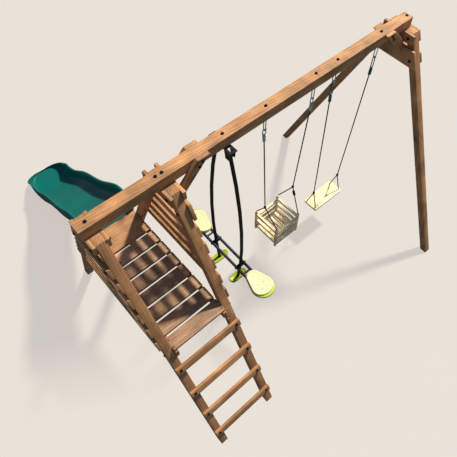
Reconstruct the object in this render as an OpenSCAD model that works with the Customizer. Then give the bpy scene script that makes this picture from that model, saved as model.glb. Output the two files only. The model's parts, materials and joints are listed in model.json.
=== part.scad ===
/* [Timber frame] */
// Length of the top beam
beam_len = 3295; // [2900:5:3900]
// Width of the top beam across the frame
beam_w = 100; // [90:1:120]
// Height of the top beam
beam_h = 95; // [85:1:115]
// Height of the top face of the beam over the ground
top_z = 2500; // [2300:10:2800]
// Width of a leg along the beam
post_w = 75; // [65:1:90]
// Depth of a leg square to its length
post_d = 70; // [60:1:84]
// Lean of the legs from upright, in degrees
lean = 24.75; // [20:0.1:28]
// Thickness of the boards that tie a pair of legs
board_t = 28; // [22:1:34]
// Height of a tie board
board_h = 87; // [70:1:100]
// Width of a knee brace
brace_w = 75; // [60:1:90]
// Thickness of a knee brace
brace_t = 35; // [26:1:42]

/* [Tower] */
// Near face of the first frame, from the end of the beam
tower_x = 42; // [30:1:80]
// Distance from the first frame to the second frame
tower_pitch = 589; // [540:1:700]
// Distance from the far end of the beam back to the third frame
end_set_back = 65; // [50:1:120]
// Height of the top face of the deck
deck_z = 1365; // [1200:1:1500]
// Thickness of a deck plank
plank_t = 28; // [20:1:32]
// Width of a deck plank
plank_w = 125; // [100:1:130]
// Gap between deck planks
plank_gap = 22; // [12:1:30]
// Width of the wide board at the back of the deck
back_w = 305; // [280:1:330]
// Height of a deck joist
joist_h = 95; // [70:1:110]
// Thickness of a deck joist
joist_t = 28; // [24:1:42]
// Height of a guard board
guard_h = 87; // [70:1:100]
// Thickness of a guard board
guard_t = 20; // [16:1:28]
// Height of the lower edge of the lowest guard board
guard_z = 1400; // [1380:1:1420]
// Gap between guard boards
guard_gap = 64; // [40:1:66]
// Height of a rung, along the slope of the leg
rung_h = 70; // [50:1:90]
// Thickness of a rung
rung_t = 28; // [22:1:38]
// Height of the lowest rung
rung_z = 190; // [150:1:230]
// Rise from one rung to the next
rung_rise = 313; // [270:1:330]

/* [Slide] */
// Outer width of the slide
slide_w = 470; // [420:1:500]
// Wall of the slide
slide_wall = 6; // [4:0.5:10]
// Height of the side walls of the slide
slide_side = 170; // [130:1:200]
// Distance from the middle of the beam to the far end of the slide
slide_end = 2840; // [2700:10:3100]

/* [Swings] */
// Distance between the two hanging points of a swing
hang_pitch = 534; // [480:1:600]
// Middle of the box swing along the beam
box_x = 1882; // [1840:1:1900]
// Middle of the plank swing along the beam
plank_x = 2664; // [2640:1:2680]
// Drop of a hanging point under the beam
hang_drop = 155; // [130:1:180]
// Rod of the hangers and links
rod_d = 9; // [7:0.5:11]
// Rope
rope_d = 12; // [10:0.5:14]
// Width of the box seat
box_w = 334; // [280:1:360]
// Height of the lower face of the box seat floor
box_z = 500; // [420:5:600]
// Height of the box seat
box_h = 306; // [276:1:336]
// Length of the plank seat
seat_len = 440; // [400:1:470]
// Width of the plank seat
seat_w = 185; // [150:1:210]
// Thickness of the plank seat
seat_t = 24; // [18:1:30]
// Height of the top face of the plank seat
seat_z = 402; // [350:5:480]

/* [Glider] */
// Middle of the glider along the beam
glider_x = 1197; // [1180:1:1240]
// Diameter of an arm
arm_d = 32; // [28:1:38]
// Half of the distance between the top pivots
arm_top_y = 80; // [70:1:95]
// Height of the rails
rail_z = 750; // [690:1:800]
// Diameter of a rail
rail_d = 30; // [26:1:34]
// Distance between the two rails
rail_pitch = 90; // [84:1:110]
// Length of a glider seat
pod_len = 330; // [300:1:400]
// Width of a glider seat
pod_w = 240; // [200:1:280]
// Far end of a glider seat from the middle
pod_end = 640; // [600:1:760]
// Height of the footrests
foot_z = 450; // [400:1:500]

/* [Hidden] */
$fn = 32;

// Frame
beam_under = top_z - beam_h;
leg_deep = post_d / cos(lean);
leg_slope = tan(lean);
top_in = beam_w / 2 + 7;
half_spread = top_in + leg_deep + beam_under * leg_slope;
frame_x = [tower_x, tower_x + tower_pitch, beam_len - end_set_back];
frame_mid = [for (x = frame_x) x + post_w / 2];
tie_z = beam_under - board_h;
tie_reach = 168;
tie_reach_left = 142;
low_tie_z = tie_z - 181;
low_tie_h = 81;
landing_z = tie_z - 153;
landing_h = 130;
landing_end_z = tie_z - 203;
landing_end_h = 155;
head_h = 75;
brace_x = 232;
function leg_out(z) = half_spread - leg_slope * z;
function leg_in(z) = leg_out(z) - leg_deep;
function leg_mid(z) = leg_out(z) - leg_deep / 2;

// Tower
deck_under = deck_z - plank_t;
joist_z = deck_under - joist_h;
plank_pitch = plank_w + plank_gap;
planks = 7;
deck_front = -650;
back_front = deck_front + planks * plank_pitch;
deck_back = back_front + back_w;
deck_x = frame_x[0] + post_w;
deck_len = frame_x[1] - frame_x[0] - post_w;
deck_mid = deck_x + deck_len / 2;
joist_front = -665;
joist_back = leg_out(joist_z);
guard_step = guard_h + guard_gap;
guard_boards = max(2, min(5, floor((low_tie_z - 10 - guard_z + guard_gap) / guard_step)));
guard_low = min(3, guard_boards - 1);
rungs = 4;

// Hardware
bolt_d = 10;
bore_d = 10.6;
head_d = 20;
bolt_head_h = 6;
washer_d = 27;
washer_t = 2.5;
screw_d = 5;
screw_bore = 5.6;
hang_z = beam_under - hang_drop;
run_gap = 0.3;
seat_gap = 0.05;

// Slide
slide_steps = 56;
slide_start = deck_back - 40;
slide_lip = deck_z + slide_wall + seat_gap;
slide_low = 26;
slide_fall = 0.775;
slide_break = deck_back + 137;
slide_run = 330;
slide_mid = deck_mid + 24;
rim_w = 15;
rim_h = 13;
function soft_min(a, b, k) = min(a, b) - pow(max(k - abs(a - b), 0), 2) / (4 * k);
function soft_max(a, b, k) = -soft_min(-a, -b, k);
function wave(y) = y < 860 || y > 2440 ? 0 : 30 * pow(sin((y - 860) * 180 / 1580), 0.7)
    * sin((y - 1560) * 360 / 1050);
function bed_z(y) = wave(y)
    + soft_max(soft_min(slide_lip - slide_fall * (y - slide_break), slide_lip, 100), slide_low, 150);
function side_up(y) =
    y < slide_break ? 105 + (slide_side - 105) * (y - slide_start) / (slide_break - slide_start)
    : y > slide_end - slide_run ? 26 + (slide_side + 24) * pow((slide_end - y) / slide_run, 0.9)
    : slide_side + 50 * pow(max(0, y - slide_end + 2 * slide_run) / slide_run, 2);
function skirt(y) = y < deck_back + 40 ? slide_wall
    : min(slide_wall + 34, slide_wall + 0.35 * (y - deck_back - 40));
slide_y = [for (i = [0 : slide_steps]) slide_start + (slide_end - slide_start) * i / slide_steps];

// Swings
knot_box_z = 1086;
knot_half = 193;
knot_plank_z = 623;
knot_plank_half = 195;
knot_d = 34;
layer = box_h / 9;
rail_t = 26;
post_in = box_w / 2 - rail_t / 2;
slat_t = 12;
rope_bore = rope_d + 0.6;
hole_x = 197;
hole_y = 65;
loop_half = 12;
link_half = 17;
box_link = 44;
plank_link = 104;
sleeve = 56;

// Glider
pivot_z = beam_under - 75;
pin_d = 12;
pin_bore = 12.1;
cheek_in = 24;
cheek_t = 6;
plate_w = 66;
foot_y = 150;
arm_bow = 92;
arm_boss = 40;
top_boss = 34;
arm_len = norm([foot_y - arm_top_y, pivot_z - foot_z]);
arm_r = arm_len * arm_len / (8 * arm_bow) + arm_bow / 2;
arm_tilt = atan2(foot_y - arm_top_y, pivot_z - foot_z);
arm_half = asin(arm_len / 2 / arm_r);
arm_cy = (arm_top_y + foot_y) / 2 - (arm_r - arm_bow) * cos(arm_tilt);
arm_cz = (pivot_z + foot_z) / 2 - (arm_r - arm_bow) * sin(arm_tilt);
arm_rail_y = arm_cy + sqrt(arm_r * arm_r - pow(rail_z - arm_cz, 2));
rail_half = rail_pitch / 2;
rail_reach = 450;
open_bore = 28;
pod_narrow = 160;
pod_low = 22;
pod_top = 18;
pod_inset = 7;

// The whole set stands on its middle
x_low = frame_x[0] - board_t - washer_t - bolt_head_h;
x_high = frame_x[2] + post_w + board_t + washer_t + 12;
y_low = -half_spread;
y_high = slide_end;
centre_x = (x_low + x_high) / 2;
centre_y = (y_low + y_high) / 2;

module placed() {
    translate([-centre_x, -centre_y, 0]) children();
}

// Outline of [y, z] points, taken along the beam from x over a width
module across(x, width) {
    translate([x, 0, 0]) rotate([90, 0, 90]) linear_extrude(width) children();
}

// Outline of [x, z] points, taken across the frame from y over a depth
module along(y, depth) {
    translate([0, y + depth, 0]) rotate([90, 0, 0]) linear_extrude(depth) children();
}

module bar(a, b, d) {
    v = b - a;
    translate(a)
        rotate([0, acos(v[2] / norm(v)), atan2(v[1], v[0])])
            cylinder(h = norm(v), d = d);
}

module timber() {
    color([0.56, 0.37, 0.23]) children();
}

module dark_metal() {
    color([0.08, 0.08, 0.09]) children();
}

module zinc() {
    color([0.62, 0.63, 0.63]) children();
}

module rounded(w, h, r) {
    square([w - 2 * r, h], center = true);
    square([w, h - 2 * r], center = true);
    for (x = [-1, 1], y = [-1, 1]) translate([x * (w / 2 - r), y * (h / 2 - r)]) circle(r);
}

// Bolt along +z: head below zero, nut past the length
module bolt(length) {
    translate([0, 0, -washer_t]) cylinder(h = washer_t, d = washer_d);
    translate([0, 0, -washer_t - bolt_head_h]) cylinder(h = bolt_head_h, d = head_d);
    translate([0, 0, -washer_t]) cylinder(h = length + 2 * washer_t + 12, d = bolt_d);
    translate([0, 0, length]) cylinder(h = washer_t, d = washer_d);
    translate([0, 0, length + washer_t]) cylinder(h = 8, d = 18, $fn = 6);
}

// Screw along +z: head below zero
module screw(length) {
    translate([0, 0, -1.6]) cylinder(h = 1.6, d = 10);
    translate([0, 0, -1]) cylinder(h = length + 1, d = screw_d);
}

// Bolts through a pair of legs: [height, start, length]
function leg_bolts(i) = [
    [tie_z + board_h / 2, frame_x[i] - board_t, post_w + 2 * board_t],
    i == 0 ? [low_tie_z + low_tie_h / 2, frame_x[0] - board_t, post_w + board_t]
    : i == 1 ? [landing_z + landing_h / 2, frame_x[1], post_w + board_t]
    : [low_tie_z + low_tie_h / 2, frame_x[2] - board_t, post_w + 2 * board_t],
    i == 0 ? [joist_z + joist_h / 2, frame_x[0], post_w + joist_t]
    : i == 1 ? [joist_z + joist_h / 2, frame_x[1] - joist_t, post_w + joist_t]
    : [tie_z + board_h / 2, frame_x[2] - board_t, post_w + 2 * board_t]
];
module bolt_bores(i) {
    for (b = leg_bolts(i), s = [-1, 1])
        translate([b[1] - 1, s * leg_mid(b[0]), b[0]])
            rotate([0, 90, 0]) cylinder(h = b[2] + 2, d = bore_d);
}

// Vertical bolts through the beam: [x, length]
top_bolts = [
    [frame_mid[0], beam_h + head_h],
    [frame_x[1] - board_t / 2, beam_h + board_h],
    [frame_mid[1], beam_h + head_h],
    [glider_x, beam_h + 8],
    [frame_mid[2], beam_h + head_h]
];
module top_bores() {
    for (b = top_bolts)
        translate([b[0], 0, top_z - b[1] - 1]) cylinder(h = b[1] + 2, d = bore_d);
}
hang_x = [
    box_x - hang_pitch / 2, box_x + hang_pitch / 2,
    plank_x - hang_pitch / 2, plank_x + hang_pitch / 2
];

// Bolts through a pair of knee braces and the beam: [x, z]
brace_bolts = [
    [frame_x[1] + post_w + board_t + brace_x - 15, top_z - 28],
    [frame_x[1] + post_w + board_t + brace_x - 45, top_z - 67],
    [frame_x[2] - board_t - brace_x + 15, top_z - 28],
    [frame_x[2] - board_t - brace_x + 45, top_z - 67]
];
brace_reach = beam_w / 2 + brace_t;
module brace_bores() {
    for (b = brace_bolts)
        translate([b[0], brace_reach + 1, b[1]])
            rotate([90, 0, 0]) cylinder(h = 2 * brace_reach + 2, d = bore_d);
}

// Frame of one rung bolt: on the front face of the leg, inwards along +z
module rung_seat(k, x) {
    z = rung_z + k * rung_rise;
    translate([x, -leg_out(z), z]) rotate([-90 - lean, 0, 0]) children();
}
module rung_bores(x) {
    for (k = [0 : rungs - 1])
        rung_seat(k, x) translate([0, 0, -rung_t - 1]) cylinder(h = rung_t + post_d + 2, d = bore_d);
}

// Screws of the guard boards, two at each end of a board
guard_screws = [
    for (g = [0 : guard_boards - 1], dz = [-20, 20], s = [-1, 1])
        let (z = guard_z + g * guard_step + guard_h / 2 + dz) [s * leg_mid(z), z]
];
guard_x = [frame_x[0] - guard_t, frame_x[1] + post_w];
module guard_bores(i) {
    for (g = guard_screws)
        translate([i == 0 ? guard_x[0] - 1 : frame_x[1] + post_w - 46, g[0], g[1]])
            rotate([0, 90, 0]) cylinder(h = guard_t + 47, d = screw_bore);
}

module top_beam() {
    timber() difference() {
        translate([0, -beam_w / 2, beam_under]) cube([beam_len, beam_w, beam_h]);
        top_bores();
        brace_bores();
        for (x = hang_x) translate([x, 0, beam_under - 1]) cylinder(h = beam_h + 2, d = bore_d);
    }
}

// One leg: frame number and side of the beam
module leg(i, s) {
    timber() difference() {
        across(frame_x[i], post_w)
            polygon([
                [s * leg_out(0), 0], [s * leg_out(beam_under), beam_under],
                [s * leg_in(beam_under), beam_under], [s * leg_in(0), 0]
            ]);
        bolt_bores(i);
        if (s < 0 && i < 2) rung_bores(frame_mid[i]);
        if (i < 2) guard_bores(i);
    }
}
module leg_left_front() { leg(0, -1); }
module leg_left_back() { leg(0, 1); }
module leg_middle_front() { leg(1, -1); }
module leg_middle_back() { leg(1, 1); }
module leg_right_front() { leg(2, -1); }
module leg_right_back() { leg(2, 1); }

// Block between the tops of two legs, with the beam on it
module head_block(i) {
    z = beam_under - head_h;
    timber() difference() {
        across(frame_x[i], post_w)
            polygon([
                [-leg_in(beam_under), beam_under], [leg_in(beam_under), beam_under],
                [leg_in(z), z], [-leg_in(z), z]
            ]);
        top_bores();
        bolt_bores(i);
    }
}
module head_block_left() { head_block(0); }
module head_block_middle() { head_block(1); }
module head_block_right() { head_block(2); }

// Board across a pair of legs with square ends
module tie(i, x, z, h, reach) {
    timber() difference() {
        translate([x, -reach, z]) cube([board_t, 2 * reach, h]);
        bolt_bores(i);
        top_bores();
    }
}

// Board across a pair of legs with ends cut along the legs
module cut_tie(i, x, z, h, past) {
    timber() difference() {
        across(x, board_t)
            polygon([
                [-leg_out(z) - past, z], [leg_out(z) + past, z],
                [leg_out(z + h) + past, z + h], [-leg_out(z + h) - past, z + h]
            ]);
        bolt_bores(i);
    }
}
module tie_left_outer() { tie(0, frame_x[0] - board_t, tie_z, board_h, tie_reach_left); }
module tie_left_inner() { tie(0, frame_x[0] + post_w, tie_z, board_h, tie_reach_left); }
module tie_middle_inner() { tie(1, frame_x[1] - board_t, tie_z, board_h, tie_reach); }
module tie_middle_outer() { tie(1, frame_x[1] + post_w, tie_z, board_h, tie_reach); }
module tie_right_inner() { tie(2, frame_x[2] - board_t, tie_z, board_h, tie_reach); }
module tie_right_outer() { cut_tie(2, frame_x[2] + post_w, tie_z, board_h, 0); }
module low_tie_left() { cut_tie(0, frame_x[0] - board_t, low_tie_z, low_tie_h, 0); }
module low_tie_right() { cut_tie(2, frame_x[2] + post_w, low_tie_z, low_tie_h, 0); }
module landing_board_middle() { cut_tie(1, frame_x[1] + post_w, landing_z, landing_h, 20); }
module landing_board_right() {
    cut_tie(2, frame_x[2] - board_t, landing_end_z, landing_end_h, 20);
}

// Knee brace at 45 degrees from a frame face up to the side of the beam
module knee_brace(x, dir, s) {
    half = brace_w / sqrt(2);
    timber() difference() {
        along(s > 0 ? beam_w / 2 : -brace_reach, brace_t)
            polygon([
                [x, top_z - brace_x - half], [x + dir * (brace_x + half), top_z],
                [x + dir * (brace_x - half), top_z], [x, top_z - brace_x + half]
            ]);
        brace_bores();
    }
}
module knee_brace_middle_front() { knee_brace(frame_x[1] + post_w + board_t, 1, -1); }
module knee_brace_middle_back() { knee_brace(frame_x[1] + post_w + board_t, 1, 1); }
module knee_brace_right_front() { knee_brace(frame_x[2] - board_t, -1, -1); }
module knee_brace_right_back() { knee_brace(frame_x[2] - board_t, -1, 1); }

// Screw places of the deck: both joists, two to a board
joist_mid = [deck_x + joist_t / 2, deck_x + deck_len - joist_t / 2];
deck_screws = [
    for (p = [0 : planks], dy = [28, plank_w - 28], x = joist_mid)
        [x, deck_front + p * plank_pitch + dy]
];
module deck_bores() {
    for (p = deck_screws) translate([p[0], p[1], deck_z - 71]) cylinder(h = 72, d = screw_bore);
}
lip_screws = [
    for (x = [slide_mid - 165, slide_mid, slide_mid + 165]) [x, slide_start + 24]
];
module lip_bores() {
    for (p = lip_screws) translate([p[0], p[1], deck_z - 23]) cylinder(h = 40, d = screw_bore);
}
module joist(x, i) {
    timber() difference() {
        translate([x, joist_front, joist_z]) cube([joist_t, joist_back - joist_front, joist_h]);
        bolt_bores(i);
        deck_bores();
    }
}
module joist_left() { joist(deck_x, 0); }
module joist_right() { joist(deck_x + deck_len - joist_t, 1); }
module deck_board(y, width) {
    timber() difference() {
        translate([deck_x, y, deck_under]) cube([deck_len, width, plank_t]);
        deck_bores();
        lip_bores();
    }
}
module deck_planks() {
    for (p = [0 : planks - 1]) deck_board(deck_front + p * plank_pitch, plank_w);
}
module deck_back_board() { deck_board(back_front, back_w); }

// Guard boards on the outer faces of a pair of tower legs
module guard(i, first, last) {
    timber() difference() {
        for (level = [first : last]) {
            z = guard_z + level * guard_step;
            across(guard_x[i], guard_t)
                polygon([
                    [-leg_out(z), z], [leg_out(z), z],
                    [leg_out(z + guard_h), z + guard_h], [-leg_out(z + guard_h), z + guard_h]
                ]);
        }
        guard_bores(i);
    }
}
module guard_left_lower() { guard(0, 0, guard_low - 1); }
module guard_left_upper() { guard(0, guard_low, guard_boards - 1); }
module guard_right_lower() { guard(1, 0, guard_low - 1); }
module guard_right_upper() { guard(1, guard_low, guard_boards - 1); }

// Rung board on the front faces of the two front tower legs
module rung(k) {
    z = rung_z + k * rung_rise;
    timber() difference() {
        rung_seat(k, frame_x[0])
            translate([0, -rung_h / 2, -rung_t - seat_gap])
                cube([frame_x[1] + post_w - frame_x[0] + 5, rung_h, rung_t]);
        rung_bores(frame_mid[0]);
        rung_bores(frame_mid[1]);
    }
}
module rung_1() { rung(0); }
module rung_2() { rung(1); }
module rung_3() { rung(2); }
module rung_4() { rung(3); }

module slide() {
    side = [for (y = slide_y) [y, bed_z(y) + side_up(y)]];
    keel = [for (i = [slide_steps : -1 : 0]) [slide_y[i], max(0, bed_z(slide_y[i]) - skirt(slide_y[i]))]];
    bed = [for (y = slide_y) [y, bed_z(y)]];
    under = [for (i = [slide_steps : -1 : 0]) [slide_y[i], bed_z(slide_y[i]) - slide_wall]];
    rim_from = 0;
    rim_top = [for (i = [rim_from : slide_steps]) [slide_y[i], bed_z(slide_y[i]) + side_up(slide_y[i])]];
    rim_low = [
        for (i = [slide_steps : -1 : rim_from])
            [slide_y[i], bed_z(slide_y[i]) + side_up(slide_y[i]) - rim_h]
    ];
    x0 = slide_mid - slide_w / 2;
    color([0.13, 0.45, 0.42]) difference() {
        union() {
            across(x0, slide_wall) polygon(concat(side, keel));
            across(x0 + slide_w - slide_wall, slide_wall) polygon(concat(side, keel));
            across(x0, slide_w) polygon(concat(bed, under));
            across(x0 - rim_w, rim_w + slide_wall) polygon(concat(rim_top, rim_low));
            across(x0 + slide_w - slide_wall, rim_w + slide_wall) polygon(concat(rim_top, rim_low));
            translate([x0, slide_end - slide_wall, 0])
                cube([slide_w, slide_wall, slide_low + 24]);
        }
        lip_bores();
    }
}

module frame_bolts() {
    dark_metal() {
        for (i = [0, 1, 2], n = [0 : i == 2 ? 1 : 2], s = [-1, 1]) {
            b = leg_bolts(i)[n];
            translate([b[1], s * leg_mid(b[0]), b[0]]) rotate([0, 90, 0]) bolt(b[2]);
        }
        for (b = top_bolts) translate([b[0], 0, top_z]) rotate([180, 0, 0]) bolt(b[1]);
        for (b = brace_bolts)
            translate([b[0], -brace_reach, b[1]]) rotate([-90, 0, 0]) bolt(2 * brace_reach);
        for (k = [0 : rungs - 1], i = [0, 1])
            rung_seat(k, frame_mid[i])
                translate([0, 0, -rung_t - 2 * seat_gap]) bolt(rung_t + post_d + 3 * seat_gap);
    }
}

module wood_screws() {
    dark_metal() {
        for (p = deck_screws) translate([p[0], p[1], deck_z]) rotate([180, 0, 0]) screw(70);
        for (p = lip_screws) translate([p[0], p[1], slide_lip]) rotate([180, 0, 0]) screw(28);
        for (g = guard_screws) {
            translate([guard_x[0], g[0], g[1]]) rotate([0, 90, 0]) screw(guard_t + 45);
            translate([guard_x[1] + guard_t, g[0], g[1]]) rotate([0, -90, 0]) screw(guard_t + 45);
        }
    }
}

// Hanger: rod through the beam, plate under it and a long loop
module swing_hangers() {
    zinc() for (x = hang_x) translate([x, 0, 0]) {
        translate([0, 0, beam_under - 6]) cylinder(h = beam_h + 20, d = bolt_d);
        translate([0, 0, beam_under - 6]) cylinder(h = 6, d = 44);
        translate([0, 0, top_z]) cylinder(h = washer_t, d = washer_d);
        translate([0, 0, top_z + washer_t]) cylinder(h = 8, d = 18, $fn = 6);
        for (s = [-1, 1])
            translate([0, s * loop_half, hang_z])
                cylinder(h = hang_drop - 3, d = rod_d);
        translate([0, 0, hang_z]) rotate([0, 90, 0]) rotate([0, 0, -90])
            rotate_extrude(angle = 180) translate([loop_half, 0]) circle(d = rod_d);
    }
}

// Closed link hanging in a loop: straight top on the swing axis, round foot
link_axis = hang_z - loop_half + rod_d + run_gap;
module link(x, length) {
    translate([x, 0, link_axis]) {
        translate([-link_half, 0, 0]) rotate([0, 90, 0]) cylinder(h = 2 * link_half, d = rod_d);
        for (s = [-1, 1]) translate([s * link_half, 0, 0]) {
            sphere(d = rod_d);
            translate([0, 0, -length]) cylinder(h = length, d = rod_d);
        }
        translate([0, 0, -length]) rotate([90, 0, 0]) rotate([0, 0, 180])
            rotate_extrude(angle = 180) translate([link_half, 0]) circle(d = rod_d);
    }
}

// Eye round the foot of a link, and a sleeve along the rope under it
eye_r = 12;
eye_d = 7;
function eye_z(length) = link_axis - length - link_half + rod_d / 2 + run_gap + eye_d / 2 - eye_r;
function sleeve_top(x, length) = [x, 0, eye_z(length) - eye_r + 1];
function toward(a, b, t) = a + (b - a) * t / norm(b - a);
module eye(x, length, knot) {
    top = sleeve_top(x, length);
    translate([x, 0, eye_z(length)]) rotate([0, 90, 0])
        rotate_extrude() translate([eye_r, 0]) circle(d = eye_d);
    difference() {
        bar(top, toward(top, knot, sleeve), rope_d + 16);
        bar(toward(top, knot, 9), toward(top, knot, sleeve + 1), rope_bore);
    }
}
module rope_top(x, length, knot) {
    top = sleeve_top(x, length);
    bar(toward(top, knot, 10), knot, rope_d);
}

// Box swing
box_knots = [[box_x - knot_half, 0, knot_box_z], [box_x + knot_half, 0, knot_box_z]];
box_top = box_z + box_h;
module box_rope_bores() {
    for (x = [-1, 1], y = [-1, 1])
        translate([box_x + x * post_in, y * post_in, box_z - 1]) cylinder(h = box_h + 2, d = rope_bore);
}
module box_long_rails() {
    color([0.68, 0.47, 0.28]) difference() {
        for (n = [0 : 2], s = [-1, 1])
            translate([box_x - box_w / 2, s * post_in - rail_t / 2, box_z + 3 * n * layer])
                cube([box_w, rail_t, layer]);
        box_rope_bores();
    }
}
module box_cross_rails() {
    color([0.68, 0.47, 0.28]) difference() {
        for (n = [0 : 2], s = [-1, 1])
            translate([box_x + s * post_in - rail_t / 2, -box_w / 2, box_z + (3 * n + 1) * layer])
                cube([rail_t, box_w, layer]);
        box_rope_bores();
    }
}
module box_floor() {
    inner = box_w - 2 * rail_t;
    color([0.68, 0.47, 0.28])
        for (n = [0 : 3])
            translate([box_x - inner / 2 + 4 + n * (inner - 8 + 10) / 4, -box_w / 2, box_z + layer])
                cube([(inner - 8 - 30) / 4, box_w, slat_t]);
}
module box_spacers() {
    color([0.62, 0.42, 0.25]) difference() {
        for (n = [0 : 2], x = [-1, 1], y = [-1, 1])
            translate([box_x + x * post_in - rail_t / 2, y * post_in - rail_t / 2,
                box_z + (3 * n + 2) * layer])
                cube([rail_t, rail_t, layer]);
        box_rope_bores();
    }
}
module box_ropes() {
    color([0.11, 0.11, 0.10]) for (s = [0, 1]) {
        k = box_knots[s];
        rope_top(hang_x[s], box_link, k);
        translate(k) sphere(d = knot_d);
        for (y = [-1, 1]) {
            corner = [box_x + (2 * s - 1) * post_in, y * post_in, box_top + 8];
            foot = [corner[0], corner[1], box_z - 12];
            bar(k, corner, rope_d);
            translate(corner) sphere(d = rope_d + 2);
            bar(corner, foot, rope_d);
            translate(foot) sphere(d = 25);
        }
    }
}
// Slider on one strand of the box swing
module box_toggle() {
    a = box_knots[1];
    b = [box_x + post_in, -post_in, box_top + 8];
    color([0.05, 0.05, 0.05]) difference() {
        bar(a + (b - a) * (0.22 - 0.07), a + (b - a) * (0.22 + 0.07), 2 * rope_d + 4);
        bar(a, b, rope_bore);
    }
}
module box_links() {
    zinc() for (s = [0, 1]) link(hang_x[s], box_link);
    color([0.07, 0.07, 0.07]) for (s = [0, 1]) eye(hang_x[s], box_link, box_knots[s]);
}

// Plank swing
plank_knots = [[plank_x - knot_plank_half, 0, knot_plank_z], [plank_x + knot_plank_half, 0, knot_plank_z]];
module plank_seat() {
    color([0.86, 0.78, 0.58]) difference() {
        translate([plank_x, 0, seat_z - seat_t]) linear_extrude(seat_t) rounded(seat_len, seat_w, 18);
        for (x = [-1, 1], y = [-1, 1])
            translate([plank_x + x * hole_x, y * hole_y, seat_z - seat_t - 1])
                cylinder(h = seat_t + 2, d = rope_bore);
    }
}
module plank_ropes() {
    color([0.11, 0.13, 0.11]) for (s = [0, 1]) {
        k = plank_knots[s];
        rope_top(hang_x[2 + s], plank_link, k);
        translate(k) sphere(d = knot_d);
        for (y = [-1, 1]) {
            corner = [plank_x + (2 * s - 1) * hole_x, y * hole_y, seat_z + 8];
            foot = [corner[0], corner[1], seat_z - seat_t - 12];
            bar(k, corner, rope_d);
            translate(corner) sphere(d = rope_d + 2);
            bar(corner, foot, rope_d);
            translate(foot) sphere(d = 25);
        }
    }
}
module plank_links() {
    color([0.10, 0.20, 0.15]) for (s = [0, 1]) link(hang_x[2 + s], plank_link);
    color([0.07, 0.07, 0.07]) for (s = [0, 1]) eye(hang_x[2 + s], plank_link, plank_knots[s]);
}

// Glider
module glider_bracket() {
    reach = arm_top_y + 46;
    dark_metal() difference() {
        union() {
            translate([glider_x - plate_w / 2, -reach, beam_under - 8]) cube([plate_w, 2 * reach, 8]);
            for (s = [-1, 1], n = [-1, 1])
                translate([glider_x + (n > 0 ? cheek_in : -cheek_in - cheek_t), 0, 0])
                    across(0, cheek_t)
                        polygon([
                            [s * (arm_top_y - 34), beam_under - 4], [s * (arm_top_y + 34), beam_under - 4],
                            [s * (arm_top_y + 20), pivot_z - 20], [s * (arm_top_y - 20), pivot_z - 20]
                        ]);
        }
        for (s = [-1, 1])
            translate([glider_x - 15, s * (arm_top_y + 4) - 22, beam_under - 9]) cube([30, 44, 10]);
        top_bores();
        for (s = [-1, 1])
            translate([glider_x - 40, s * arm_top_y, pivot_z])
                rotate([0, 90, 0]) cylinder(h = 80, d = pin_bore);
    }
}
module pin_x(y, z, half) {
    translate([glider_x - half, y, z]) rotate([0, 90, 0]) cylinder(h = 2 * half, d = pin_d);
    for (s = [-1, 1])
        translate([glider_x + (s > 0 ? half : -half - 5), y, z])
            rotate([0, 90, 0]) cylinder(h = 5, d = 20);
}
module glider_top_pins() {
    dark_metal() for (s = [-1, 1]) pin_x(s * arm_top_y, pivot_z, cheek_in + cheek_t + 0.3);
}

// Bowed tube of an arm
module arm_tube(s, d) {
    translate([glider_x, s * arm_cy, arm_cz])
        rotate([90, 0, s > 0 ? 90 : -90])
            rotate([0, 0, arm_tilt - arm_half])
                rotate_extrude(angle = 2 * arm_half, $fn = 96) translate([arm_r, 0]) circle(d = d, $fn = 32);
}
module arm(s, low_bore) {
    dark_metal() difference() {
        union() {
            arm_tube(s, arm_d);
            translate([glider_x - cheek_in + 0.4, s * arm_top_y, pivot_z])
                rotate([0, 90, 0]) cylinder(h = 2 * cheek_in - 0.8, d = top_boss);
            translate([glider_x - rail_half + rail_d / 2 + 0.4, s * arm_rail_y, rail_z])
                rotate([0, 90, 0]) cylinder(h = rail_pitch - rail_d - 0.8, d = arm_boss);
        }
        translate([glider_x - 40, s * arm_top_y, pivot_z])
            rotate([0, 90, 0]) cylinder(h = 80, d = pin_bore);
        translate([glider_x - 40, s * arm_rail_y, rail_z])
            rotate([0, 90, 0]) cylinder(h = 80, d = low_bore);
    }
}
module glider_arm_front() { arm(-1, pin_bore); }
module glider_arm_back() { arm(1, open_bore); }
pod_bolt_y = pod_end - pod_len + 75;
module glider_rails() {
    color([0.10, 0.09, 0.16]) difference() {
        union() {
            for (s = [-1, 1]) {
                translate([glider_x + s * rail_half, -rail_reach, rail_z])
                    rotate([-90, 0, 0]) cylinder(h = 2 * rail_reach, d = rail_d);
                translate([glider_x - rail_half, s * (pod_end - pod_len - 22), rail_z])
                    rotate([0, 90, 0]) cylinder(h = rail_pitch, d = 20);
            }
        }
        for (s = [-1, 1])
            translate([glider_x - rail_half - 20, s * arm_rail_y, rail_z])
                rotate([0, 90, 0]) cylinder(h = rail_pitch + 40, d = pin_bore);
        for (s = [-1, 1], x = [-1, 1])
            translate([glider_x + x * rail_half, s * pod_bolt_y, rail_z - 20])
                cylinder(h = 40, d = 8.6);
    }
}
module glider_rail_pins() {
    dark_metal() {
        for (s = [-1, 1]) pin_x(s * arm_rail_y, rail_z, rail_half + rail_d / 2 + 0.3);
        for (s = [-1, 1], x = [-1, 1])
            translate([glider_x + x * rail_half, s * pod_bolt_y, 0]) {
                translate([0, 0, rail_z - rail_d / 2 - 6]) cylinder(h = 6, d = 14);
                translate([0, 0, rail_z - rail_d / 2 - 1]) cylinder(h = rail_d + 15, d = 8);
            }
    }
}

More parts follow.
